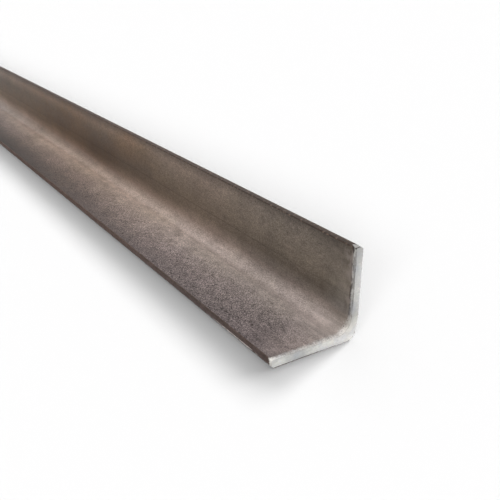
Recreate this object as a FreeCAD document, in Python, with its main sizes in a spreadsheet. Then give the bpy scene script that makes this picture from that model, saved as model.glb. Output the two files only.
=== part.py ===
import FreeCAD, Part
import os

import Sketcher

# A length of hot-rolled steel angle with equal legs.
# It lies on the outer face of one leg, the foot. The other leg, the upright, stands along the
# +X side. The bar runs along Y, and the sawn end at -Y is the one seen from the front.
# The origin is on the floor, midway along the bar and midway across the foot.

doc = FreeCAD.newDocument("AngleBar")

# Driving sizes, in millimetres.
SIZES = [
    ("bar_length", 1000.0, "sawn length of the bar"),
    ("foot_leg", 30.0, "outer width of the foot, heel to toe"),
    ("upright_leg", 30.0, "outer height of the upright, heel to toe"),
    ("leg_thickness", 3.0, "thickness that both legs are rolled to"),
    ("root_radius", 4.5, "fillet inside the corner"),
    ("heel_radius", 3.8, "rounding of the outer corner"),
    ("toe_radius", 1.5, "rounding of each toe's outer edge"),
    ("burr_bevel", 0.7, "bevel filed along the inside edges of both sawn ends"),
]

sheet = doc.addObject("Spreadsheet::Sheet", "Sizes")
for row, (name, value, meaning) in enumerate(SIZES, start=1):
    sheet.set("A%d" % row, name)
    sheet.set("B%d" % row, str(value))
    sheet.set("C%d" % row, meaning)
    sheet.setAlias("B%d" % row, name)
doc.recompute()

bar = doc.addObject("PartDesign::Body", "AngleBar")
bar.Label = "angle_bar"


def origin_plane(body, role):
    """The body's own origin plane that has this role."""
    return next(item for item in body.Origin.OriginFeatures if item.Role == role)


# The rolled section, drawn across the bar: X across the foot, Y of the sketch up the upright.
section = bar.newObject("Sketcher::SketchObject", "RolledSection")
section.AttachmentSupport = [(origin_plane(bar, "XZ_Plane"), "")]
section.MapMode = "FlatFace"

back = sheet.foot_leg / 2
toe = -sheet.foot_leg / 2
top = sheet.upright_leg
thick = sheet.leg_thickness

# The corners of the section, taken round it from the foot's toe, each with the cell that
# holds its radius, or None where two faces meet in a plain edge.
CORNERS = [
    ("toe_of_foot", toe, 0.0, "toe_radius"),
    ("heel", back, 0.0, "heel_radius"),
    ("toe_of_upright", back, top, "toe_radius"),
    ("upright_arris", back - thick, top, None),
    ("root", back - thick, thick, "root_radius"),
    ("foot_arris", toe, thick, None),
]
# The faces between one corner and the next, in the same order.
FACES = ["underside", "back", "upright_toe", "upright_inner", "foot_inner", "foot_toe"]


def corner_reach(number):
    """How far a corner's rounding reaches along the faces beside it."""
    radius_cell = CORNERS[number][3]
    return getattr(sheet, radius_cell) if radius_cell else 0.0


def point_towards(number, neighbour):
    """Where a corner's rounding leaves the face that runs to the neighbouring corner."""
    here = FreeCAD.Vector(CORNERS[number][1], CORNERS[number][2], 0)
    there = FreeCAD.Vector(CORNERS[neighbour][1], CORNERS[neighbour][2], 0)
    return here + (there - here).normalize() * corner_reach(number)


def add_face(number):
    """A straight face of the section from this corner to the next one."""
    following = (number + 1) % len(CORNERS)
    start = point_towards(number, following)
    end = point_towards(following, number)
    line = section.addGeometry(Part.LineSegment(start, end))
    direction = "Horizontal" if abs(end.y - start.y) < abs(end.x - start.x) else "Vertical"
    section.addConstraint(Sketcher.Constraint(direction, line))
    return line


def bind(constraint, name, cell):
    """Add a dimension to the section and tie it to a cell of the sheet, or to a sum on one."""
    index = section.addConstraint(constraint)
    section.renameConstraint(index, name)
    section.setExpression("Constraints." + name, "Sizes." + cell)


def add_rounding(number):
    """The arc of one corner, tangent to the faces on both sides, with its radius from the sheet."""
    name, x, y, radius_cell = CORNERS[number]
    before = faces[number - 1]
    after = faces[number]
    start = point_towards(number, number - 1)
    end = point_towards(number, (number + 1) % len(CORNERS))
    corner = FreeCAD.Vector(x, y, 0)
    radius = corner_reach(number)
    centre = start + end - corner
    middle = centre + (corner - centre).normalize() * radius
    arc = section.addGeometry(Part.Arc(start, middle, end))
    # An arc of a sketch always runs anticlockwise, so the hollow corner's ends are swapped.
    first, last = (1, 2) if (middle - start).cross(end - middle).z > 0 else (2, 1)
    section.addConstraint(Sketcher.Constraint("Tangent", before, 2, arc, first))
    section.addConstraint(Sketcher.Constraint("Tangent", arc, last, after, 1))
    bind(Sketcher.Constraint("Radius", arc, radius), name + "_radius", radius_cell)


faces = [add_face(number) for number in range(len(FACES))]
for number in range(len(CORNERS)):
    if corner_reach(number):
        add_rounding(number)
    else:
        section.addConstraint(Sketcher.Constraint("Coincident", faces[number - 1], 2, faces[number], 1))
underside, back_face, upright_toe, upright_inner, foot_inner, foot_toe = faces

# Leg widths and thicknesses, each measured between two parallel faces.
bind(Sketcher.Constraint("DistanceX", foot_toe, 2, back_face, 1, sheet.foot_leg), "foot_leg", "foot_leg")
bind(Sketcher.Constraint("DistanceY", underside, 2, upright_toe, 1, sheet.upright_leg),
     "upright_leg", "upright_leg")
bind(Sketcher.Constraint("DistanceY", underside, 1, foot_inner, 2, thick),
     "foot_thickness", "leg_thickness")
bind(Sketcher.Constraint("DistanceX", upright_inner, 1, back_face, 2, thick),
     "upright_thickness", "leg_thickness")

# The section stands on the floor line, with the foot centred on the origin.
FLOOR_LINE = -1
ORIGIN_POINT = (-1, 1)
section.addConstraint(Sketcher.Constraint("PointOnObject", underside, 1, FLOOR_LINE))
bind(Sketcher.Constraint("DistanceX", *ORIGIN_POINT, back_face, 1, back), "half_foot", "foot_leg / 2")
doc.recompute()

# Rolling gives the bar the same section all the way along.
rolled_bar = bar.newObject("PartDesign::Pad", "RolledBar")
rolled_bar.Profile = section
rolled_bar.SideType = "Symmetric"
rolled_bar.setExpression("Length", "Sizes.bar_length")
doc.recompute()


def inside_edges_of_sawn_ends(shape):
    """Names of the end faces' edges that look into the corner: the foot's, the root's, the upright's."""
    end_y = sheet.bar_length / 2
    near = 1e-3
    names = []
    for number, edge in enumerate(shape.Edges, start=1):
        middle = edge.valueAt((edge.FirstParameter + edge.LastParameter) / 2)
        in_end_plane = all(abs(abs(vertex.Y) - end_y) < near for vertex in edge.Vertexes)
        across = abs(abs(middle.y) - end_y) < near
        looks_in = middle.x < back - thick + near and middle.z > thick - near
        if in_end_plane and across and looks_in:
            names.append("Edge%d" % number)
    return names


# The saw's burr is filed off the inside edges at both ends.
deburred_bar = bar.newObject("PartDesign::Chamfer", "DeburredBar")
deburred_bar.Base = (rolled_bar, inside_edges_of_sawn_ends(rolled_bar.Shape))
deburred_bar.setExpression("Size", "Sizes.burr_bevel")
bar.Tip = deburred_bar
doc.recompute()

for item in doc.Objects:
    bad = [state for state in item.State if state in ("Invalid", "Error")]
    if bad:
        raise RuntimeError("%s did not build: %s" % (item.Name, ", ".join(bad)))
if bar.Shape.isNull() or not bar.Shape.isValid() or len(bar.Shape.Solids) != 1:
    raise RuntimeError("the bar is not one valid solid")

os.makedirs("parts", exist_ok=True)
bar.Shape.exportStep(os.path.join("parts", bar.Label + ".step"))

box = bar.Shape.BoundBox
print("angle_bar: %.1f x %.1f x %.1f mm" % (box.XLength, box.YLength, box.ZLength))
print("volume %.1f mm3, section %.3f mm2" % (bar.Shape.Volume, bar.Shape.Volume / sheet.bar_length))
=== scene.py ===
import math

import bpy
from mathutils import Matrix, Vector


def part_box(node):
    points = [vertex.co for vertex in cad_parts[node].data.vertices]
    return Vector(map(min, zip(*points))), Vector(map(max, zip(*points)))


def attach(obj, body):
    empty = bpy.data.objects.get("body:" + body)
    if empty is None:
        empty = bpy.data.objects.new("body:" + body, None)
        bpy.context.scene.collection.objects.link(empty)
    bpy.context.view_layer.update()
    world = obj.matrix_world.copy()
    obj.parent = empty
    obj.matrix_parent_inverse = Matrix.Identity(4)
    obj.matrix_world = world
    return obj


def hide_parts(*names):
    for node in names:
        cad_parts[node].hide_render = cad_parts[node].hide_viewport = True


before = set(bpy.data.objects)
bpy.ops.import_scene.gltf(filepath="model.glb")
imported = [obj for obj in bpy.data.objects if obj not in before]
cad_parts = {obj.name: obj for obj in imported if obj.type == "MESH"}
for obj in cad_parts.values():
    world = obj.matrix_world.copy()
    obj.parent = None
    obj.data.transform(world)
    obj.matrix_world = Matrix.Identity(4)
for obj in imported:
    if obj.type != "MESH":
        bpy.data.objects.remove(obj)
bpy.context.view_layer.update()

# The bar: one length of hot-rolled steel angle with equal legs, lying on its foot.
# The rolls leave a rounded root, heel and toes and a dull dark skin. The saw leaves bright
# steel at both ends, and a file has taken the burr off the inside edges there.
BAR_NODE = "angle_bar"
low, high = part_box(BAR_NODE)
leg = high.x - low.x
bar_length = high.y - low.y
leg_thickness = 0.0030
root_radius = 0.0045
heel_radius = 0.0038
toe_radius = 0.0015
arris_radius = 0.0003
# The corner is fanned out from the centre of the root fillet, which lies this far from both backs.
corner_start = leg_thickness + root_radius

# Steps along each leg, round the corner and through the metal.
LEG_STEPS = 44
CORNER_STEPS = 18
DEPTH_STEPS = 12


def toe_reach(height):
    """How far from the heel a leg ends, at a height above its outer face."""
    if height < toe_radius:
        return leg - toe_radius + math.sqrt(toe_radius ** 2 - (toe_radius - height) ** 2)
    arris_start = leg_thickness - arris_radius
    if height > arris_start:
        return leg - arris_radius + math.sqrt(max(arris_radius ** 2 - (height - arris_start) ** 2, 0.0))
    return leg


def leg_place(share, through):
    """A point of a straight leg: share runs from corner to toe, through from inside to outside."""
    height = leg_thickness * (1 - through)
    return corner_start + share * (toe_reach(height) - corner_start), height


def heel_distance(turn):
    """How far the outside lies from the fillet's centre, in a direction turned from straight down."""
    straight = corner_start / math.cos(turn)
    if corner_start * math.tan(turn) <= corner_start - heel_radius:
        return straight
    inset = corner_start - heel_radius
    half_way = inset * (math.sin(turn) + math.cos(turn))
    return half_way + math.sqrt(half_way ** 2 - 2 * inset ** 2 + heel_radius ** 2)


def corner_place(share, through):
    """A point of the corner, fanned from the foot's side, share 0, to the upright's side, share 1."""
    turn = share * math.pi / 2
    outer = heel_distance(min(turn, math.pi / 2 - turn))
    distance = root_radius + (outer - root_radius) * through
    return corner_start - distance * math.sin(turn), corner_start - distance * math.cos(turn)


# The file's bevel at a sawn end: place round the inside from the foot's toe to the upright's,
# how far the bevel reaches along the bar, and how deep it goes. It is widest at the foot's toe.
FILED = [
    (0.00, 0.00130, 0.00055),
    (0.04, 0.00085, 0.00050),
    (0.16, 0.00070, 0.00045),
    (0.31, 0.00100, 0.00050),
    (0.42, 0.00100, 0.00050),
    (0.50, 0.00120, 0.00060),
    (0.58, 0.00075, 0.00075),
    (0.65, 0.00055, 0.00085),
    (0.90, 0.00055, 0.00085),
    (1.00, 0.00050, 0.00060),
]
# The narrow face of each toe is filed too: a little at the foot's, and further at the upright's.
# The bevel's own reach changes into these over the first share of the thickness.
foot_toe_reach = 0.0009
upright_toe_reach = 0.0021
arris_share = 0.25
# Both toes are worn back by this depth, which fades out this far from the toe.
toe_filed_depth = 0.00025
toe_filed_breadth = 0.0016
# The saw broke a nick out of the back's arris, just above the heel.
nick_place = 0.525
nick_breadth = 0.035
nick_depth = 0.0006


def between(stations, place, column):
    """A value read off a short list of stations, straight between its neighbours."""
    for before, after in zip(stations, stations[1:]):
        if place <= after[0]:
            share = (place - before[0]) / (after[0] - before[0])
            return before[column] + share * (after[column] - before[column])
    return stations[-1][column]


def section_columns():
    """Depths through the metal, and columns from toe to toe: how far round each lies, and its points."""
    flat = leg - corner_start
    bend = root_radius * math.pi / 2
    total = 2 * flat + bend
    depths = [(1 - math.cos(math.pi * step / DEPTH_STEPS)) / 2 for step in range(DEPTH_STEPS + 1)]
    columns = []
    for step in range(LEG_STEPS):
        share = 1 - step / LEG_STEPS
        points = [leg_place(share, through) for through in depths]
        columns.append(((1 - share) * flat / total, points))
    for step in range(CORNER_STEPS + 1):
        share = step / CORNER_STEPS
        points = [corner_place(share, through) for through in depths]
        columns.append(((flat + share * bend) / total, points))
    for step in range(1, LEG_STEPS + 1):
        share = step / LEG_STEPS
        points = [leg_place(share, through)[::-1] for through in depths]
        columns.append(((flat + bend + share * flat) / total, points))
    return depths, columns


def reach_at(around, through, last_column):
    """How far along the bar the file has reached at a point of the section."""
    reach = between(FILED, around, 1)
    by_arris = max(0.0, 1 - through / arris_share)
    if around == 0.0:
        return foot_toe_reach + (reach - foot_toe_reach) * by_arris
    if around == last_column:
        return upright_toe_reach + (reach - upright_toe_reach) * by_arris
    return reach


def section_plate():
    """A flat plate of the bar's section, whose points carry their place and how the file moves them."""
    depths, columns = section_columns()
    rows = len(depths)
    last_column = columns[-1][0]
    places, rounds, throughs, filed_away, filed_reach = [], [], [], [], []
    for around, points in columns:
        inner = Vector(points[0])
        inward = (Vector(points[-1]) - inner).normalized()
        depth = between(FILED, around, 2)
        for (out, up), through in zip(points, depths):
            toe_gap = leg - max(out, up)
            by_toe = max(0.0, 1 - toe_gap / toe_filed_breadth)
            towards_heel = Vector((-1, 0)) if out > up else Vector((0, -1))
            away = inward * depth * (1 - through) + towards_heel * toe_filed_depth * by_toe
            off_nick = abs(around - nick_place) / nick_breadth
            by_nick = max(0, 1 - off_nick) * max(0, through - 0.5) / 0.5
            away += Vector((1, 0)) * nick_depth * by_nick
            places.append((high.x - out, 0.0, low.z + up))
            filed_away.append((-away.x, 0.0, away.y))
            filed_reach.append(reach_at(around, through, last_column))
            rounds.append(around)
            throughs.append(through)
    faces = []
    for column in range(len(columns) - 1):
        for row in range(rows - 1):
            first = column * rows + row
            faces.append((first, first + 1, first + rows + 1, first + rows))
    mesh = bpy.data.meshes.new("section plate")
    mesh.from_pydata(places, [], faces)
    mesh.materials.append(rolled_skin)
    for name, values in (("round", rounds), ("through", throughs), ("filed_reach", filed_reach)):
        mesh.attributes.new(name, "FLOAT", "POINT").data.foreach_set("value", values)
    for name, vectors in (("place", places), ("filed_away", filed_away)):
        flat = [part for vector in vectors for part in vector]
        mesh.attributes.new(name, "FLOAT_VECTOR", "POINT").data.foreach_set("vector", flat)
    return mesh


def add_node(tree, kind, inputs=None, **settings):
    """A node with its settings, and its inputs as plain values or as links from other nodes' sockets."""
    node = tree.nodes.new(kind)
    for name, value in settings.items():
        setattr(node, name, value)
    for name, value in (inputs or {}).items():
        if isinstance(value, bpy.types.NodeSocket):
            tree.links.new(value, node.inputs[name])
        else:
            node.inputs[name].default_value = value
    return node


def maths(tree, operation, *values):
    """The result of one arithmetic node."""
    return add_node(tree, "ShaderNodeMath", dict(enumerate(values)), operation=operation).outputs[0]


def vector_maths(tree, operation, *values):
    """The result of one vector node."""
    return add_node(tree, "ShaderNodeVectorMath", dict(enumerate(values)), operation=operation).outputs[0]


def scaled(tree, vector, factor):
    """A vector or a colour, times a number."""
    sockets = {0: vector, "Scale": factor}
    return add_node(tree, "ShaderNodeVectorMath", sockets, operation="SCALE").outputs[0]


def remap(tree, value, from_low, from_high, to_low, to_high):
    """A value moved from one range to another and held inside it."""
    sockets = {0: value, 1: from_low, 2: from_high, 3: to_low, 4: to_high}
    return add_node(tree, "ShaderNodeMapRange", sockets, clamp=True).outputs[0]


def rising(tree, value, start, end):
    """A share that is 0 up to the start and 1 from the end on."""
    return remap(tree, value, start, end, 0.0, 1.0)


def falling(tree, value, start, end):
    """A share that is 1 up to the start and 0 from the end on."""
    return remap(tree, value, start, end, 1.0, 0.0)


def times(tree, first, *others):
    """The product of several values."""
    for other in others:
        first = maths(tree, "MULTIPLY", first, other)
    return first


def gap_from(tree, value, middle):
    """How far a value lies from a middle, to either side."""
    return maths(tree, "ABSOLUTE", maths(tree, "SUBTRACT", value, middle))


def noise(tree, place, waves, detail=2.0, roughness=0.5):
    """A noise value about 0.5, at so many waves a metre."""
    sockets = {"Vector": place, "Scale": waves, "Detail": detail, "Roughness": roughness}
    return add_node(tree, "ShaderNodeTexNoise", sockets).outputs[0]


# The rings along the bar gather towards its ends, where the first few carry the bevel.
RINGS = 231
FILED_RINGS = 6
bevel_stretch = bar_length / 2 * (2 * FILED_RINGS / (RINGS - 1)) ** 2


def rolling_tree():
    """The tree that rolls the bar from its section, saws it to length and files both ends."""
    tree = bpy.data.node_groups.new("Roll, saw and file", "GeometryNodeTree")
    tree.is_modifier = True
    tree.interface.new_socket("Geometry", in_out="OUTPUT", socket_type="NodeSocketGeometry")
    for name, kind in (
        ("Section", "NodeSocketGeometry"), ("Bar length", "NodeSocketFloat"), ("Rings", "NodeSocketInt"),
        ("Bevel stretch", "NodeSocketFloat"), ("Settled at", "NodeSocketFloat"),
        ("Cut leans back", "NodeSocketFloat"), ("Cut swings out", "NodeSocketFloat"),
        ("Unevenness", "NodeSocketFloat"), ("Seed", "NodeSocketInt"),
        ("Rolled skin", "NodeSocketMaterial"), ("Sawn steel", "NodeSocketMaterial"),
    ):
        tree.interface.new_socket(name, in_out="INPUT", socket_type=kind)
    given = tree.nodes.new("NodeGroupInput").outputs

    def attribute(name, kind="FLOAT"):
        return add_node(tree, "GeometryNodeInputNamedAttribute", {"Name": name}, data_type=kind).outputs[0]

    def keep(geometry, name, value, kind="FLOAT"):
        sockets = {"Geometry": geometry, "Name": name, "Value": value}
        return add_node(tree, "GeometryNodeStoreNamedAttribute", sockets, data_type=kind).outputs[0]

    # Rolling: the plate's outline runs along a rail whose rings gather towards both ends.
    half_length = times(tree, given["Bar length"], 0.5)
    far_point = add_node(tree, "ShaderNodeCombineXYZ", {"Y": given["Bar length"]}).outputs[0]
    rail = add_node(tree, "GeometryNodeCurvePrimitiveLine", {"End": far_point}).outputs[0]
    rail = add_node(tree, "GeometryNodeResampleCurve", {"Curve": rail, "Count": given["Rings"]}).outputs[0]
    station = add_node(tree, "GeometryNodeSplineParameter").outputs["Factor"]
    signed = maths(tree, "MULTIPLY_ADD", station, 2.0, -1.0)
    inset = maths(tree, "SUBTRACT", 1.0, maths(tree, "ABSOLUTE", signed))
    rail = keep(rail, "from_end", times(tree, half_length, maths(tree, "POWER", inset, 2.0)))
    rail = keep(rail, "which_end", maths(tree, "SIGN", signed))
    sockets = {2: add_node(tree, "GeometryNodeInputMeshEdgeNeighbors").outputs["Face Count"], 3: 1}
    rim = add_node(tree, "FunctionNodeCompare", sockets, data_type="INT", operation="EQUAL").outputs[0]
    sockets = {"Mesh": given["Section"], "Selection": rim}
    outline = add_node(tree, "GeometryNodeMeshToCurve", sockets).outputs[0]
    skin = add_node(tree, "GeometryNodeCurveToMesh", {"Curve": rail, "Profile Curve": outline}).outputs[0]
    skin = keep(skin, "sawn", 0.0)

    # Sawing: the same plate closes both ends.
    parts = [skin]
    for end in (-1.0, 1.0):
        face = keep(given["Section"], "which_end", end)
        face = keep(face, "from_end", 0.0)
        face = keep(face, "sawn", 1.0)
        if end > 0:
            face = add_node(tree, "GeometryNodeFlipFaces", {"Mesh": face}).outputs[0]
        parts.append(face)
    joined = add_node(tree, "GeometryNodeJoinGeometry")
    for part in reversed(parts):
        tree.links.new(part, joined.inputs[0])

    # Filing: near an end the inside edges are worn back over an uneven stretch, and no two ends alike.
    ends_apart = 0.07
    stroke_waves = 300.0
    least_reach = 0.35
    place = attribute("place", "FLOAT_VECTOR")
    from_end = attribute("from_end")
    which_end = attribute("which_end")
    end_shift = maths(tree, "MULTIPLY_ADD", which_end, ends_apart, given["Seed"])
    end_shift = add_node(tree, "ShaderNodeCombineXYZ", {"Y": end_shift}).outputs[0]
    noise_place = vector_maths(tree, "ADD", place, end_shift)
    stroke = maths(tree, "MULTIPLY_ADD", noise(tree, noise_place, stroke_waves), 2.0, -1.0)
    reach_change = maths(tree, "MULTIPLY_ADD", stroke, given["Unevenness"], 1.0)
    reach = times(tree, attribute("filed_reach"), maths(tree, "MAXIMUM", reach_change, least_reach))
    near = remap(tree, from_end, 0.0, given["Bevel stretch"], 0.0, reach)
    settling = maths(tree, "SUBTRACT", given["Settled at"], reach)
    beyond = remap(tree, from_end, given["Bevel stretch"], given["Settled at"], 0.0, settling)
    rest = maths(tree, "MAXIMUM", maths(tree, "SUBTRACT", from_end, given["Settled at"]), 0.0)
    behind_cut = maths(tree, "ADD", maths(tree, "ADD", near, beyond), rest)
    taper = falling(tree, from_end, 0.0, given["Bevel stretch"])
    away = times(tree, taper, reach_change)
    away = scaled(tree, attribute("filed_away", "FLOAT_VECTOR"), away)

    # The cut isn't quite square: it falls back a little towards the floor and towards the foot's toe,
    # and the rings are square again this far in.
    squared_by = 0.04
    parts_of_place = add_node(tree, "ShaderNodeSeparateXYZ", {0: place}).outputs
    fall = remap(tree, parts_of_place["Z"], 0.0, leg, given["Cut leans back"], 0.0)
    swing = remap(tree, parts_of_place["X"], -leg / 2, leg / 2, given["Cut swings out"], 0.0)
    lean = maths(tree, "ADD", fall, swing)
    lean = times(tree, lean, falling(tree, from_end, 0.0, squared_by))
    middle_gap = maths(tree, "SUBTRACT", maths(tree, "SUBTRACT", half_length, behind_cut), lean)
    along = times(tree, which_end, middle_gap)
    along = add_node(tree, "ShaderNodeCombineXYZ", {"Y": along}).outputs[0]
    spot = vector_maths(tree, "ADD", vector_maths(tree, "ADD", place, away), along)
    shaped = keep(joined.outputs[0], "behind_cut", behind_cut)
    shaped = keep(shaped, "past_bevel", maths(tree, "SUBTRACT", behind_cut, reach))
    shaped = add_node(tree, "GeometryNodeSetPosition", {"Geometry": shaped, "Position": spot}).outputs[0]
    shaped = keep(shaped, "filed", taper)
    weld_gap = 2e-6
    sockets = {"Geometry": shaped, "Distance": weld_gap}
    shaped = add_node(tree, "GeometryNodeMergeByDistance", sockets).outputs[0]
    shaped = add_node(tree, "GeometryNodeSetShadeSmooth", {"Geometry": shaped}).outputs[0]

    # Bright steel lies on the sawn faces, on the filed strip of the inside and on the toes beside it.
    toe_column = 0.4999
    least_wear = 0.02
    inside = maths(tree, "LESS_THAN", attribute("through"), 0.5)
    off_middle = gap_from(tree, attribute("round"), 0.5)
    on_toe = maths(tree, "GREATER_THAN", off_middle, toe_column)
    in_strip = maths(tree, "GREATER_THAN", attribute("filed"), least_wear)
    strip = times(tree, in_strip, maths(tree, "MAXIMUM", inside, on_toe))
    bright = maths(tree, "MAXIMUM", strip, maths(tree, "GREATER_THAN", attribute("sawn"), 0.99))
    sockets = {"Geometry": shaped, "Material": given["Rolled skin"]}
    shaped = add_node(tree, "GeometryNodeSetMaterial", sockets).outputs[0]
    sockets = {"Geometry": shaped, "Selection": bright, "Material": given["Sawn steel"]}
    shaped = add_node(tree, "GeometryNodeSetMaterial", sockets).outputs[0]
    shaped = add_node(tree, "GeometryNodeRealizeInstances", {"Geometry": shaped}).outputs[0]
    output = tree.nodes.new("NodeGroupOutput")
    tree.links.new(shaped, output.inputs[0])
    return tree


def shader_group(name, inputs, outputs):
    """An empty shader group: its inputs are numbers with usual values, its outputs colours and values."""
    group = bpy.data.node_groups.new(name, "ShaderNodeTree")
    for input_name, usual in inputs:
        socket = group.interface.new_socket(input_name, in_out="INPUT", socket_type="NodeSocketFloat")
        socket.default_value = usual
    for output_name, kind in outputs:
        group.interface.new_socket(output_name, in_out="OUTPUT", socket_type=kind)
    return group, group.nodes.new("NodeGroupInput").outputs


def group_results(group, results):
    """Links what a group has worked out to its outputs."""
    output = group.nodes.new("NodeGroupOutput")
    for name, value in results.items():
        group.links.new(value, output.inputs[name])


def object_place(tree):
    """Where on the bar a point lies."""
    return add_node(tree, "ShaderNodeTexCoord").outputs["Object"]


def carried(tree, name):
    """A value that the mesh carries."""
    return add_node(tree, "ShaderNodeAttribute", attribute_name=name).outputs["Fac"]


def tone_ramp(tree, value, stops):
    """A colour read off a row of stops."""
    node = add_node(tree, "ShaderNodeValToRGB", {"Fac": value})
    ramp = node.color_ramp
    for end, (position, colour) in zip((0, -1), (stops[0], stops[-1])):
        ramp.elements[end].position = position
        ramp.elements[end].color = (*colour, 1.0)
    for position, colour in stops[1:-1]:
        ramp.elements.new(position).color = (*colour, 1.0)
    return node.outputs["Color"]


def level_ramp(tree, value, stops):
    """A plain value read off a row of stops."""
    return tone_ramp(tree, value, [(position, (level, level, level)) for position, level in stops])


def mixed(tree, share, first, second):
    """One colour mixed into another."""
    node = add_node(tree, "ShaderNodeMix", data_type="RGBA")
    given = {"Factor": share, "A": first, "B": second}
    for socket in node.inputs:
        if socket.enabled and socket.name in given:
            value = given[socket.name]
            if isinstance(value, bpy.types.NodeSocket):
                tree.links.new(value, socket)
            else:
                socket.default_value = value if isinstance(value, float) else (*value, 1.0)
    return next(socket for socket in node.outputs if socket.enabled)


WHITE = (1.0, 1.0, 1.0)


def tinted(tree, tone, tint, share=None):
    """A colour times a tint, or times only a share of that tint."""
    if share is not None:
        tint = mixed(tree, share, WHITE, tint)
    return vector_maths(tree, "MULTIPLY", tone, tint)


def stretched(tree, place, factors):
    """The place that a pattern is read at: a factor under 1 draws the pattern out along that axis."""
    return vector_maths(tree, "MULTIPLY", place, factors)


def centred(tree, pattern):
    """A noise value moved to lie about 0."""
    return maths(tree, "SUBTRACT", pattern, 0.5)


# Tones of the rolled skin round the inside of the bar, from the foot's toe to the upright's, and
# then of its back, its toes, its worn places and its pits.
# The root's sheen tones are a painted highlight, and the shade tones are painted shade, laid over the
# skin's own colour.
TOE_GREY = (0.142, 0.113, 0.108)
FOOT_GREY = (0.218, 0.176, 0.164)
FOOT_BEIGE = (0.335, 0.276, 0.254)
ROOT_SHEEN_PALE = (0.540, 0.453, 0.406)
ROOT_SHEEN_BEIGE = (0.480, 0.392, 0.348)
ROOT_SHADE = (0.360, 0.287, 0.245)
FILLET_SHADE_BROWN = (0.240, 0.190, 0.155)
SHADE_BROWN = (0.150, 0.116, 0.087)
UPRIGHT_OLIVE = (0.179, 0.139, 0.108)
UPRIGHT_TOP = (0.204, 0.159, 0.126)
UPRIGHT_TOE = (0.117, 0.088, 0.069)
BACK_GREY = (0.190, 0.155, 0.136)
ARRIS_BROWN = (0.052, 0.034, 0.024)
TOP_BROWN = (0.086, 0.055, 0.038)
TOP_DUST = (0.190, 0.134, 0.104)
TOE_DARK = (0.104, 0.070, 0.060)
TOE_BROWN = (0.140, 0.095, 0.080)
TOE_GLINT = (0.900, 0.820, 0.780)
WORN_SKIN = (0.300, 0.255, 0.230)
PIT_BROWN = (0.040, 0.030, 0.027)
# Tints that a tone is multiplied by: far in at the foot's toe, in a stain, and far in on both toes.
FAR_FOOT_TINT = (0.29, 0.25, 0.21)
STAIN_TINT = (1.08, 0.96, 0.80)
FAR_TOE_TINT = (1.22, 0.92, 0.72)


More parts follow.
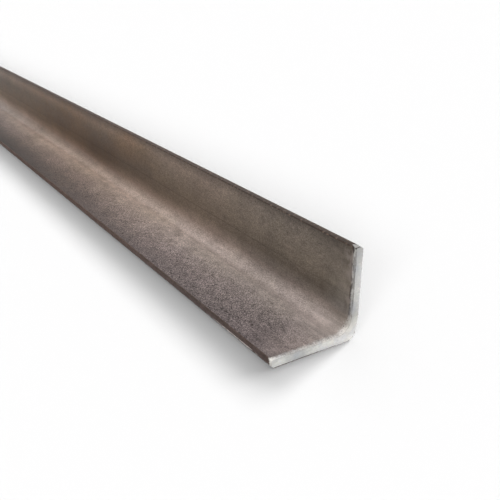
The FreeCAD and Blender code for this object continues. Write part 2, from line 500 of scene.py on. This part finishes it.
def skin_group():
    """The rolled skin: bands of brown and grey along the bar, with a painted highlight at the root and
    painted shade low on the upright, a hammered grain, pits and rolling lines.
    """
    group, given = shader_group("rolled skin", (("Grain", 1.0), ("Pits", 1.0), ("Metal", 0.35)), (
        ("Color", "NodeSocketColor"), ("Roughness", "NodeSocketFloat"), ("Metallic", "NodeSocketFloat"),
        ("Height", "NodeSocketFloat")))
    place = object_place(group)
    around = carried(group, "round")
    through = carried(group, "through")
    from_end = carried(group, "from_end")
    past_bevel = carried(group, "past_bevel")
    off_middle = gap_from(group, around, 0.5)
    on_upright = rising(group, around, 0.56, 0.66)

    # The bands wander a little along the bar.
    slow_place = stretched(group, place, (2.0, 0.6, 2.0))
    wander = centred(group, noise(group, slow_place, 30.0))
    room = remap(group, off_middle, 0.42, 0.5, 0.10, 0.0)
    band = maths(group, "MULTIPLY_ADD", wander, room, around)
    # These bands are partly the skin's own tone and partly painted light: a painted highlight brightens
    # the foot towards the root, and painted shade darkens the band on the upright's lower part.
    tone = tone_ramp(group, band, [
        (0.0, TOE_GREY), (0.14, FOOT_GREY), (0.27, FOOT_BEIGE), (0.40, ROOT_SHEEN_PALE), (0.47, ROOT_SHEEN_BEIGE),
        (0.55, ROOT_SHADE), (0.60, FILLET_SHADE_BROWN), (0.65, SHADE_BROWN), (0.72, SHADE_BROWN),
        (0.86, UPRIGHT_OLIVE), (0.94, UPRIGHT_TOP), (1.0, UPRIGHT_TOE)])
    tone = mixed(group, maths(group, "GREATER_THAN", through, 0.5), tone, BACK_GREY)

    # The skin is greyer by the cuts and browner further in, the upright more than the foot.
    foot_further_in = tone_ramp(group, from_end, [
        (0.0, (0.92, 0.94, 0.98)), (0.04, (0.92, 0.94, 0.97)), (0.08, (1.07, 1.08, 1.10)),
        (0.12, (1.01, 0.98, 0.95)), (0.19, (0.89, 0.82, 0.75)), (0.27, (0.88, 0.82, 0.76)),
        (0.36, (0.71, 0.71, 0.72)), (0.5, (0.71, 0.71, 0.72))])
    upright_further_in = tone_ramp(group, from_end, [
        (0.0, (0.94, 0.99, 1.03)), (0.04, (0.94, 0.98, 1.01)), (0.08, (1.02, 1.00, 1.00)),
        (0.12, (0.90, 0.86, 0.83)), (0.19, (0.69, 0.60, 0.54)), (0.27, (0.70, 0.62, 0.56)),
        (0.36, (0.79, 0.75, 0.73)), (0.5, (0.79, 0.75, 0.73))])
    further_in = mixed(group, rising(group, around, 0.46, 0.60), foot_further_in, upright_further_in)
    tone = tinted(group, tone, further_in)

    # By the cut the foot's toe is paler, and further in the root and the upright's top are.
    by_cut = level_ramp(group, around, [
        (0.0, 1.20), (0.12, 1.04), (0.22, 0.93), (0.42, 1.00), (0.52, 0.97), (0.60, 0.84),
        (0.66, 0.92), (0.73, 1.15), (0.85, 1.12), (0.94, 0.80), (1.0, 0.76)])
    middle = level_ramp(group, around, [
        (0.0, 0.93), (0.20, 1.20), (0.42, 0.94), (0.51, 1.00), (0.60, 1.17), (0.75, 1.12), (1.0, 1.15)])
    far_in = level_ramp(group, around, [
        (0.0, 0.80), (0.14, 0.80), (0.27, 0.95), (0.42, 1.15), (0.52, 0.82), (0.62, 0.90),
        (0.72, 0.81), (0.86, 0.96), (0.94, 1.28), (1.0, 1.17)])
    further_in = mixed(group, rising(group, from_end, 0.03, 0.09), by_cut, middle)
    further_in = mixed(group, rising(group, from_end, 0.09, 0.18), further_in, far_in)
    tone = tinted(group, tone, further_in)

    # Right beside the cut the foot is rubbed pale, and the upright's lower half is paler and cooler.
    beside_cut = tone_ramp(group, around, [
        (0.0, (1.40, 1.43, 1.37)), (0.13, (1.80, 1.79, 1.73)), (0.24, (1.40, 1.39, 1.35)),
        (0.38, (0.88, 0.89, 0.88)), (0.47, (0.96, 0.97, 0.95)), (0.56, (0.84, 0.86, 0.83)),
        (0.65, (1.62, 1.75, 1.90)), (0.78, (1.26, 1.30, 1.33)), (0.87, (0.98, 0.99, 0.98)),
        (1.0, (1.04, 1.03, 1.01))])
    by_the_cut = falling(group, from_end, 0.004, 0.013)
    tone = tinted(group, tone, beside_cut, by_the_cut)

    # Further in still, the foot's toe is darker, and the painted shade band beside the root fades out.
    by_toe = falling(group, around, 0.0, 0.22)
    by_toe = times(group, by_toe, rising(group, from_end, 0.14, 0.26))
    tone = tinted(group, tone, FAR_FOOT_TINT, by_toe)
    by_shade_band = rising(group, around, 0.49, 0.58)
    by_shade_band = times(group, by_shade_band, remap(group, around, 0.68, 0.84, 0.95, 0.0))
    by_shade_band = times(group, by_shade_band, rising(group, from_end, 0.20, 0.35))
    tone = scaled(group, tone, maths(group, "ADD", by_shade_band, 1.0))

    # Faint warm and cool patches lie all over, and brown stains on the upright, some way in.
    tint = noise(group, stretched(group, place, (1.0, 0.5, 1.0)), 90.0, detail=3.0, roughness=0.6)
    tint = tone_ramp(group, tint, [
        (0.35, (1.005, 0.995, 1.0)), (0.5, WHITE), (0.65, (1.0, 1.005, 0.985))])
    tone = tinted(group, tone, tint)
    stain = noise(group, stretched(group, place, (1.0, 0.4, 1.0)), 34.0)
    stain = times(group, rising(group, stain, 0.50, 0.66), on_upright)
    stained_from = rising(group, from_end, 0.08, 0.14)
    stained_to = remap(group, from_end, 0.20, 0.30, 1.0, 0.2)
    stain = times(group, stain, times(group, stained_from, stained_to))
    tone = tinted(group, tone, STAIN_TINT, stain)

    # Grain, drawn out along the bar: sharp specks on the foot, strongest towards its toe, thin lines
    # at the root, and soft long lumps on the upright. Each has its strength round the bar, and
    # beside the cut the specks are worn smooth.
    coarse = level_ramp(group, around, [
        (0.0, 1.0), (0.20, 0.95), (0.33, 0.60), (0.42, 0.36), (0.56, 0.28), (0.7, 0.36), (1.0, 0.40)])
    coarse = times(group, coarse, given["Grain"])
    worn_smooth = maths(group, "ADD", from_end, times(group, noise(group, place, 120.0), 0.012))
    coarse = times(group, coarse, remap(group, worn_smooth, 0.008, 0.028, 0.45, 1.15))
    soft = level_ramp(group, around, [
        (0.0, 0.8), (0.3, 0.6), (0.45, 0.3), (0.6, 0.3), (0.75, 0.4), (1.0, 0.5)])
    soft = times(group, soft, remap(group, from_end, 0.10, 0.25, 1.0, 0.6))
    lined = level_ramp(group, around, [
        (0.0, 0.2), (0.28, 0.3), (0.36, 0.5), (0.5, 0.5), (0.6, 0.2), (1.0, 0.15)])
    lined = times(group, lined, remap(group, from_end, 0.06, 0.16, 1.0, 0.3))
    drawn_out = stretched(group, place, (1.0, 0.6, 1.0))
    far_drawn_out = stretched(group, place, (1.0, 0.5, 1.0))
    fine = centred(group, noise(group, drawn_out, 3600.0, detail=0.0))
    grain = centred(group, noise(group, drawn_out, 1700.0, detail=1.0))
    lumps = centred(group, noise(group, far_drawn_out, 750.0))
    mottle = noise(group, far_drawn_out, 300.0, detail=3.0, roughness=0.55)
    patches = noise(group, place, 55.0, detail=3.0)
    lines = centred(group, noise(group, stretched(group, place, (1.0, 0.02, 1.0)), 1900.0))
    uneven = maths(group, "MULTIPLY_ADD", fine, 2.5, times(group, grain, 1.5))
    uneven = maths(group, "ADD", uneven, remap(group, fine, 0.16, 0.27, 0.0, 0.4))
    change = maths(group, "MULTIPLY_ADD", uneven, coarse, 1.0)
    change = maths(group, "MULTIPLY_ADD", times(group, lumps, 1.3), soft, change)
    change = maths(group, "MULTIPLY_ADD", lines, lined, change)
    mottled = times(group, centred(group, mottle), remap(group, around, 0.4, 0.6, 0.9, 0.5))
    change = times(group, change, maths(group, "ADD", mottled, 1.0))
    change = times(group, change, maths(group, "MULTIPLY_ADD", patches, 0.6, 0.7))
    tone = scaled(group, tone, maths(group, "MAXIMUM", change, 0.25))

    # A thin dark line that a worn roll left half-way up the upright, and a short one by the root.
    for line_place, line_depth, line_end in ((0.425, 0.12, 0.06), (0.705, 0.30, 1.2)):
        gap = gap_from(group, around, line_place)
        fading = remap(group, from_end, 0.0, line_end, line_depth, 0.0)
        fading = times(group, fading, remap(group, from_end, 0.005, 0.05, 0.35, 1.0))
        roll_line = times(group, falling(group, gap, 0.0015, 0.007), fading)
        tone = scaled(group, tone, maths(group, "SUBTRACT", 1.0, roll_line))

    # Pits: each cell of the pattern has one, and many are too small to show.
    pit_cells = add_node(group, "ShaderNodeTexVoronoi", {"Vector": drawn_out, "Scale": 900.0})
    pit_size = remap(group, pit_cells.outputs["Color"], 0.58, 0.92, 0.0, 0.32)
    pit_size = times(group, pit_size, coarse, given["Pits"])
    pitted = maths(group, "SUBTRACT", pit_size, pit_cells.outputs["Distance"])
    pitted = remap(group, pitted, 0.0, 0.10, 0.0, 0.8)
    tone = mixed(group, pitted, tone, PIT_BROWN)

    # Beside the bevel the upright is rubbed paler, with a few dark brown patches left in it.
    blotches = noise(group, stretched(group, place, (1.0, 1.0, 0.6)), 420.0, detail=3.0)
    rubbed = times(group, remap(group, past_bevel, 0.0, 0.0060, 0.62, 0.0), on_upright)
    rubbed = times(group, rubbed, remap(group, blotches, 0.40, 0.52, 1.0, 0.1))
    tone = mixed(group, rubbed, tone, WORN_SKIN)
    left_dark = times(group, remap(group, past_bevel, 0.0, 0.0030, 0.75, 0.0), on_upright)
    left_dark = times(group, left_dark, rising(group, blotches, 0.52, 0.62))
    tone = mixed(group, left_dark, tone, ARRIS_BROWN)

    # The narrow faces at the toes are darker, and redder further in. Both have a dark inner arris,
    # and near the cut the foot's has a painted glint: a bright line along its lower rounding, partly
    # rubbed bare metal.
    flecks = noise(group, place, 900.0)
    across = maths(group, "ADD", through, maths(group, "MULTIPLY_ADD", flecks, 0.5, -0.25))
    top_tone = tone_ramp(group, across, [
        (0.12, ARRIS_BROWN), (0.30, ARRIS_BROWN), (0.42, TOP_BROWN), (0.80, TOP_BROWN), (1.0, TOE_BROWN)])
    top_tone = mixed(group, remap(group, flecks, 0.54, 0.68, 0.0, 0.8), top_tone, TOP_DUST)
    toe_tone = tone_ramp(group, across, [
        (0.0, TOE_DARK), (0.35, TOE_DARK), (0.6, TOE_BROWN), (1.0, TOE_GREY)])
    toe_tone = mixed(group, remap(group, mottle, 0.50, 0.62, 0.0, 0.5), toe_tone, TOE_DARK)
    toe_arris = remap(group, mottle, 0.42, 0.54, 0.0, 0.5)
    toe_arris = times(group, falling(group, through, 0.10, 0.30), toe_arris)
    toe_tone = mixed(group, toe_arris, toe_tone, ARRIS_BROWN)
    glint_place = stretched(group, place, (1.0, 0.4, 1.0))
    glint = rising(group, noise(group, glint_place, 700.0, detail=3.0), 0.40, 0.52)
    glint = times(group, glint, rising(group, from_end, 0.006, 0.012))
    glint = times(group, glint, falling(group, from_end, 0.024, 0.036))
    off_rounding = gap_from(group, through, 0.60)
    low_down = falling(group, off_rounding, 0.05, 0.10)
    on_edge = rising(group, off_middle, 0.4975, 0.4995)
    on_toe = times(group, on_edge, maths(group, "LESS_THAN", around, 0.5))
    glint = times(group, glint, low_down, on_toe)
    # Painted glint: the bright line on the foot toe's lower rounding.
    toe_tone = mixed(group, glint, toe_tone, TOE_GLINT)
    edge_tone = mixed(group, on_toe, top_tone, toe_tone)
    edge_tone = tinted(group, edge_tone, FAR_TOE_TINT, rising(group, from_end, 0.05, 0.18))
    edge_level = remap(group, from_end, 0.08, 0.20, 1.0, 0.75)
    edge_tone = scaled(group, edge_tone, maths(group, "ADD", grain, edge_level))
    tone = mixed(group, on_edge, tone, edge_tone)

    # Pits are rougher and deeper than the skin between them, and the painted glint line, partly rubbed
    # metal, is more metallic.
    rough = maths(group, "MULTIPLY_ADD", mottle, 0.2, 0.38)
    rough = maths(group, "MULTIPLY_ADD", pitted, 0.2, rough)
    metal = maths(group, "MULTIPLY_ADD", glint, 0.55, given["Metal"])
    height = times(group, maths(group, "MULTIPLY_ADD", lumps, 0.6, grain), coarse)
    height = maths(group, "MULTIPLY_ADD", pitted, -0.6, height)
    group_results(group, {"Color": tone, "Roughness": rough, "Metallic": metal, "Height": height})
    return group


BARE_STEEL = (0.60, 0.595, 0.580)
BARE_COOL = (0.570, 0.577, 0.587)
BARE_PALE = (0.65, 0.645, 0.615)
HEEL_TINT = (1.02, 1.0, 0.98)
STRIP_TINT = (1.02, 1.0, 0.985)


def steel_group():
    """Bare steel as the saw and the file leave it: pale grey with faint tints and fine strokes."""
    group, given = shader_group("bare steel", (("Strokes", 1.0),), (
        ("Color", "NodeSocketColor"), ("Roughness", "NodeSocketFloat"), ("Height", "NodeSocketFloat")))
    place = object_place(group)
    around = carried(group, "round")
    tint = noise(group, place, 210.0, detail=3.0)
    mottle = noise(group, place, 800.0, detail=3.0, roughness=0.6)
    strokes = noise(group, stretched(group, place, (0.25, 1.0, 1.0)), 4200.0)
    strokes = times(group, centred(group, strokes), given["Strokes"])
    colour = tone_ramp(group, tint, [(0.36, BARE_COOL), (0.5, BARE_STEEL), (0.62, BARE_PALE)])
    warm = falling(group, gap_from(group, around, 0.46), 0.04, 0.14)
    colour = tinted(group, colour, HEEL_TINT, warm)

    # The sawn face is palest at the heel, and the filed strip is duller. The foot's part of the face, and
    # the face towards the outside, are painted paler against the floor's shade there.
    cut_level = level_ramp(group, around, [
        (0.0, 0.80), (0.06, 0.85), (0.14, 0.68), (0.20, 0.66), (0.31, 0.86), (0.45, 0.88),
        (0.50, 0.76), (0.58, 0.46), (0.70, 0.57), (0.82, 0.60), (0.90, 0.53), (1.0, 0.42)])
    # Painted light: paler towards the outside, against the floor's shade on the lower part of the face.
    painted_paler_outside = maths(group, "MULTIPLY_ADD", carried(group, "through"), 0.3, 1.0)
    cut_level = times(group, cut_level, painted_paler_outside)
    strip_level = level_ramp(group, around, [
        (0.0, 0.82), (0.05, 0.78), (0.12, 0.64), (0.31, 0.80), (0.40, 0.92), (0.47, 0.80),
        (0.53, 0.54), (0.65, 0.40), (0.80, 0.44), (0.95, 0.40), (1.0, 0.46)])
    on_cut = maths(group, "GREATER_THAN", carried(group, "sawn"), 0.5)
    colour = tinted(group, colour, mixed(group, on_cut, STRIP_TINT, WHITE))
    level = mixed(group, on_cut, strip_level, cut_level)
    change = maths(group, "MULTIPLY_ADD", mottle, 0.36, 0.82)
    change = times(group, change, maths(group, "MULTIPLY_ADD", strokes, 0.4, 1.0))
    change = times(group, change, times(group, level, 1.6))
    colour = scaled(group, colour, change)
    rough = maths(group, "MULTIPLY_ADD", mottle, 0.2, 0.42)
    group_results(group, {"Color": colour, "Roughness": rough, "Height": strokes})
    return group


def wear_group():
    """Where the saw and the file left bare steel, and where dark lines lie along their edges, some of them
    painted shade.
    """
    group, given = shader_group("wear at the cut", (("Raggedness", 1.0),), (
        ("Bare", "NodeSocketFloat"), ("Dark", "NodeSocketFloat")))
    place = object_place(group)
    around = carried(group, "round")
    through = carried(group, "through")
    behind_cut = carried(group, "behind_cut")
    past_bevel = carried(group, "past_bevel")
    on_cut = maths(group, "GREATER_THAN", carried(group, "sawn"), 0.5)
    off_cut = maths(group, "SUBTRACT", 1.0, on_cut)
    grit = noise(group, place, 2200.0, detail=3.0, roughness=0.6)
    ragged = noise(group, place, 700.0, detail=3.0, roughness=0.6)
    on_upright = rising(group, around, 0.50, 0.62)
    on_foot = maths(group, "SUBTRACT", 1.0, on_upright)
    upright_toe = maths(group, "GREATER_THAN", around, 0.9985)
    toes = maths(group, "GREATER_THAN", gap_from(group, around, 0.5), 0.4985)
    inside_or_toe = maths(group, "MAXIMUM", maths(group, "LESS_THAN", through, 0.05), toes)

    # The bevel runs out into the skin over a granular border, which is wide on the foot.
    border = level_ramp(group, around, [
        (0.0, 0.0005), (0.1, 0.0007), (0.43, 0.0012), (0.53, 0.0014), (0.62, 0.0004), (1.0, 0.0002)])
    shift = times(group, centred(group, grit), 3.0)
    shift = maths(group, "ADD", shift, times(group, centred(group, ragged), 1.5))
    shift = times(group, shift, given["Raggedness"])
    run_out = maths(group, "ADD", maths(group, "DIVIDE", past_bevel, border), shift)
    bare_off_cut = falling(group, run_out, -0.9, 0.7)
    bare_off_cut = times(group, bare_off_cut, inside_or_toe)

    # A rim of skin is left on the sawn face along the underside, and broken bits of it on the back.
    rim_reach = remap(group, around, 0.26, 0.42, 0.90, 0.96)
    rim = maths(group, "MULTIPLY_ADD", centred(group, ragged), 0.05, through)
    rim = rising(group, rim, rim_reach, maths(group, "ADD", rim_reach, 0.03))
    broken = rising(group, ragged, 0.54, 0.62)
    rim = times(group, rim, maths(group, "MAXIMUM", broken, falling(group, around, 0.24, 0.42)))
    bare_on_cut = maths(group, "SUBTRACT", 1.0, rim)
    bare = maths(group, "ADD", times(group, bare_on_cut, on_cut), times(group, bare_off_cut, off_cut))

    # Dark lines: painted shade in the crease between bevel and cut, and broken dark marks where bevel
    # meets skin.
    # The rim of skin on the sawn face is darkened too, partly as dark skin and partly as painted shadow
    # under the underside's edge.
    # Painted shade: the shadow of the burr along the crease between bevel and cut face.
    crease_shade_width = maths(group, "MULTIPLY_ADD", upright_toe, 0.0003, 0.00020)
    crease_shade = falling(group, behind_cut, 0.0, crease_shade_width)
    crease_shade_amount = maths(group, "MULTIPLY_ADD", on_upright, 0.45, 0.25)
    crease_shade_amount = times(group, crease_shade_amount, remap(group, ragged, 0.36, 0.52, 0.3, 1.3))
    crease_shade_amount = maths(group, "MULTIPLY_ADD", upright_toe, 0.5, crease_shade_amount)
    crease_shade = times(group, crease_shade, crease_shade_amount)
    off_border = maths(group, "ABSOLUTE", past_bevel)
    streaks = noise(group, stretched(group, place, (1.0, 1.0, 0.3)), 900.0)
    streaks = times(group, remap(group, streaks, 0.41, 0.52, 0.0, 0.9), on_upright)
    streaks = times(group, streaks, falling(group, off_border, 0.0, 0.00055))
    flecks = times(group, remap(group, grit, 0.58, 0.66, 0.0, 0.8), on_foot)
    flecks = times(group, flecks, remap(group, around, 0.1, 0.4, 0.3, 1.0))
    flecks = times(group, flecks, falling(group, off_border, 0.0, 0.0008))
    border_dark = maths(group, "MAXIMUM", streaks, flecks)
    dark = times(group, maths(group, "MAXIMUM", crease_shade, border_dark), inside_or_toe)
    dark = maths(group, "MINIMUM", times(group, dark, off_cut), 0.9)
    # Partly dark skin, partly painted shadow under the underside's rounded edge.
    rim_skin_and_shade = times(group, rim, on_cut, 0.55)
    dark = maths(group, "MAXIMUM", dark, rim_skin_and_shade)
    group_results(group, {"Bare": bare, "Dark": dark})
    return group


skin_look = skin_group()
steel_look = steel_group()
wear_look = wear_group()


def add_group(tree, group, **settings):
    """One of the shader groups, placed in a material with its own values."""
    node = tree.nodes.new("ShaderNodeGroup")
    node.node_tree = group
    for name, value in settings.items():
        node.inputs[name].default_value = value
    return node.outputs


def finish_material(name, metallic, bump_depth, grain, strokes):
    """A finish of rolled skin and bare steel, each showing where the saw and the file left it."""
    material = bpy.data.materials.new(name)
    material.use_nodes = True
    tree = material.node_tree
    shader = tree.nodes["Principled BSDF"]
    shader.inputs["Specular IOR Level"].default_value = 0.25
    skin = add_group(tree, skin_look, Grain=grain, Pits=1.0, Metal=metallic)
    tree.links.new(skin["Metallic"], shader.inputs["Metallic"])
    steel = add_group(tree, steel_look, Strokes=strokes)
    wear = add_group(tree, wear_look, Raggedness=1.0)
    colour = mixed(tree, wear["Bare"], skin["Color"], steel["Color"])
    # The dark marks are mixed in here, with the painted shade in the crease and under the rim.
    colour = mixed(tree, wear["Dark"], colour, PIT_BROWN)
    tree.links.new(colour, shader.inputs["Base Color"])
    blended = {}
    for output in ("Roughness", "Height"):
        sockets = {0: wear["Bare"], 3: skin[output], 4: steel[output]}
        blended[output] = add_node(tree, "ShaderNodeMapRange", sockets).outputs[0]
    tree.links.new(blended["Roughness"], shader.inputs["Roughness"])
    sockets = {"Height": blended["Height"], "Strength": 0.5, "Distance": bump_depth}
    bump = add_node(tree, "ShaderNodeBump", sockets)
    tree.links.new(bump.outputs["Normal"], shader.inputs["Normal"])
    return material


rolled_skin = finish_material("rolled skin", metallic=0.35, bump_depth=0.00012, grain=1.0, strokes=0.5)
sawn_steel = finish_material("sawn steel", metallic=0.40, bump_depth=0.00002, grain=0.8, strokes=1.0)

bar = bpy.data.objects.new("rolled_angle", section_plate())
bpy.context.scene.collection.objects.link(bar)
rolling = bar.modifiers.new("Roll, saw and file", "NODES")
rolling.node_group = rolling_tree()
# Lengths in metres. The rings lie as they were rolled past the place where the bevel has settled.
rolling_values = {
    "Bar length": bar_length, "Rings": RINGS, "Bevel stretch": bevel_stretch, "Settled at": 0.008,
    "Cut leans back": 0.0008, "Cut swings out": 0.00065, "Unevenness": 0.35, "Seed": 3,
    "Rolled skin": rolled_skin, "Sawn steel": sawn_steel,
}
for socket in rolling.node_group.interface.items_tree:
    if socket.in_out == "INPUT" and socket.name in rolling_values:
        rolling[socket.identifier] = rolling_values[socket.name]
evaluated = bar.evaluated_get(bpy.context.evaluated_depsgraph_get())
rolled_mesh = bpy.data.meshes.new_from_object(evaluated)
bar.modifiers.remove(rolling)
bar.data = rolled_mesh
crisp_from = math.radians(24)
rolled_mesh.set_sharp_from_angle(angle=crisp_from)
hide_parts(BAR_NODE)
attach(bar, "root")

# The floor: a wide plain white surface under the bar. It isn't part of the object, and it keeps
# the bar's shadow.
floor_half = 40.0
floor_mesh = bpy.data.meshes.new("floor")
floor_corners = [(-floor_half, -floor_half, 0), (floor_half, -floor_half, 0),
                 (floor_half, floor_half, 0), (-floor_half, floor_half, 0)]
floor_mesh.from_pydata(floor_corners, [], [(0, 1, 2, 3)])
floor = bpy.data.objects.new("floor", floor_mesh)
floor.location.z = low.z
bpy.context.scene.collection.objects.link(floor)

# The camera sees the floor a little paler than the bar does.
FLOOR_GREY = (0.13, 0.13, 0.13, 1.0)
FLOOR_SEEN = (0.15, 0.15, 0.15, 1.0)
floor_finish = bpy.data.materials.new("floor")
floor_finish.use_nodes = True
floor_tree = floor_finish.node_tree
floor_tree.nodes.remove(floor_tree.nodes["Principled BSDF"])
plain = add_node(floor_tree, "ShaderNodeBsdfDiffuse", {"Color": FLOOR_GREY}).outputs[0]
seen = add_node(floor_tree, "ShaderNodeBsdfDiffuse", {"Color": FLOOR_SEEN}).outputs[0]
ray = add_node(floor_tree, "ShaderNodeLightPath").outputs
looked_at = maths(floor_tree, "MAXIMUM", ray["Is Camera Ray"], ray["Is Glossy Ray"])
looked_at = maths(floor_tree, "MAXIMUM", looked_at, ray["Is Transmission Ray"])
shown = add_node(floor_tree, "ShaderNodeMixShader", {0: looked_at, 1: plain, 2: seen}).outputs[0]
floor_tree.links.new(shown, floor_tree.nodes["Material Output"].inputs["Surface"])
floor_mesh.materials.append(floor_finish)

# The studio: an even, dim white surround, a broad soft lamp high behind the bar and one before it,
# and five soft lamps that light the floor alone and give the shadow round the bar.
surround = bpy.data.worlds.new("studio")
bpy.context.scene.world = surround
surround.use_nodes = True
surround.node_tree.nodes["Background"].inputs["Color"].default_value = (1, 1, 1, 1)
surround.node_tree.nodes["Background"].inputs["Strength"].default_value = 0.5


def soft_lamp(name, strength, spread, bearing, elevation):
    """A far, soft lamp: bearing is measured from +Y towards +X, and both angles are in degrees."""
    lamp_data = bpy.data.lights.new(name, "SUN")
    lamp_data.energy = strength
    lamp_data.angle = math.radians(spread)
    lamp = bpy.data.objects.new(name, lamp_data)
    bpy.context.scene.collection.objects.link(lamp)
    towards = Matrix.Rotation(-math.radians(bearing), 3, "Z") @ Vector((0, 1, 0))
    rise = math.radians(elevation)
    direction = towards * math.cos(rise) + Vector((0, 0, math.sin(rise)))
    lamp.rotation_euler = direction.to_track_quat("Z", "Y").to_euler()
    return lamp


soft_lamp("high lamp", 0.8, 90, 10, 55)
soft_lamp("front lamp", 1.0, 60, -130, 45)
only_floor = bpy.data.collections.new("lit by the floor lamps")
only_floor.objects.link(floor)
for lamp_name, lamp_strength, lamp_spread, lamp_bearing, lamp_elevation in (
    ("side floor lamp", 11.8, 12, 76, 39),
    ("second side floor lamp", 7.7, 10, 90, 38),
    ("high floor lamp", 2.2, 50, 15, 50),
    ("low floor lamp", 5.2, 16, -125, 24),
    ("lowest floor lamp", 6.3, 14, -140, 18),
):
    floor_lamp = soft_lamp(lamp_name, lamp_strength, lamp_spread, lamp_bearing, lamp_elevation)
    floor_lamp.light_linking.receiver_collection = only_floor

# The camera stands at the photograph's viewing angle, to the left of the front end and above it.
camera_data = bpy.data.cameras.new("camera")
camera_data.sensor_width = 36.0
camera_data.lens = 49.825
camera_data.clip_start = 0.01
camera = bpy.data.objects.new("camera", camera_data)
bpy.context.scene.collection.objects.link(camera)
camera_place = (-0.10502, -0.62927, 0.10713)
turn_right = math.radians(32.681)
look_down = math.radians(24.22)
tilt = math.radians(0.807)
camera.matrix_world = (
    Matrix.Translation(camera_place)
    @ Matrix.Rotation(-turn_right, 4, "Z")
    @ Matrix.Rotation(math.pi / 2 - look_down, 4, "X")
    @ Matrix.Rotation(-tilt, 4, "Z")
)
bpy.context.scene.camera = camera

bpy.context.scene.view_settings.view_transform = "Standard"
